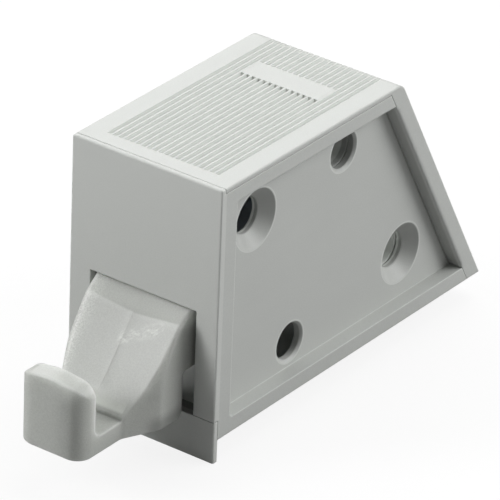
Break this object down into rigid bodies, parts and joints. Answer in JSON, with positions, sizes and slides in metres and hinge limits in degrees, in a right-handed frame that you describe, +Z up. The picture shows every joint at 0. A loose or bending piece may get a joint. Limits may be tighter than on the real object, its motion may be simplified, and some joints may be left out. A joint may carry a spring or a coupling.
{
  "type": "push to open catch",
  "caption": "Push to open catch for a furniture door: ribbed wedge-shaped housing with a sprung hook that tilts up as it is pushed in, held by a heart cam.",
  "frame": {"origin": "at mid-width, on the corner where the base meets the rear face of the locating lip", "axes": "+X to the right when looking into the cabinet, +Y into the cabinet, along the slider's travel, +Z up, towards the ribbed top"},
  "size_m": [0.023, 0.0758, 0.0381],
  "materials": {
    "housing_plastic": "satin moulded",
    "hook_plastic": "milky, slightly glossy acetal",
    "slider_plastic": "satin moulded",
    "spring_steel": "drawn spring steel",
    "steel_pin": "ground steel"
  },
  "bodies": {
    "housing": {"body": "housing_plastic", "top_cover": "housing_plastic", "base_plate": "housing_plastic", "spring_guide_rod": "steel_pin", "ejector_spring": "spring_steel", "follower_leaf": "spring_steel"},
    "slider_unit": {"slider": "slider_plastic", "hook_pivot_pin": "steel_pin"},
    "hook_lever": {"hook": "hook_plastic", "hook_guide_pin": "steel_pin"},
    "follower_wire": {"cam_follower": "spring_steel"}
  },
  "joints": [
    {"name": "slider_travel", "type": "slide", "parent": "housing", "child": "slider_unit", "axis": [0, 1, 0], "range_m": [0, 0.0125], "stiffness_N_per_m": 400, "springref_m": -0.01, "deforming": ["ejector_spring"]},
    {"name": "hook_tilt", "type": "hinge", "parent": "slider_unit", "child": "hook_lever", "pos_m": [0, 0.018, 0.0155], "axis": [-1, 0, 0], "range_deg": [0, 9.81]},
    {"name": "follower_swing", "type": "hinge", "parent": "housing", "child": "follower_wire", "pos_m": [0, 0.037, 0.0236], "axis": [0, 0, -1], "range_deg": [0, 12.08]}
  ],
  "couplings": [
    {"joint": "hook_tilt", "follows": "slider_travel", "rad_per_m": 13.683},
    {"joint": "follower_swing", "follows": "slider_travel", "rad_per_m": 16.853}
  ]
}
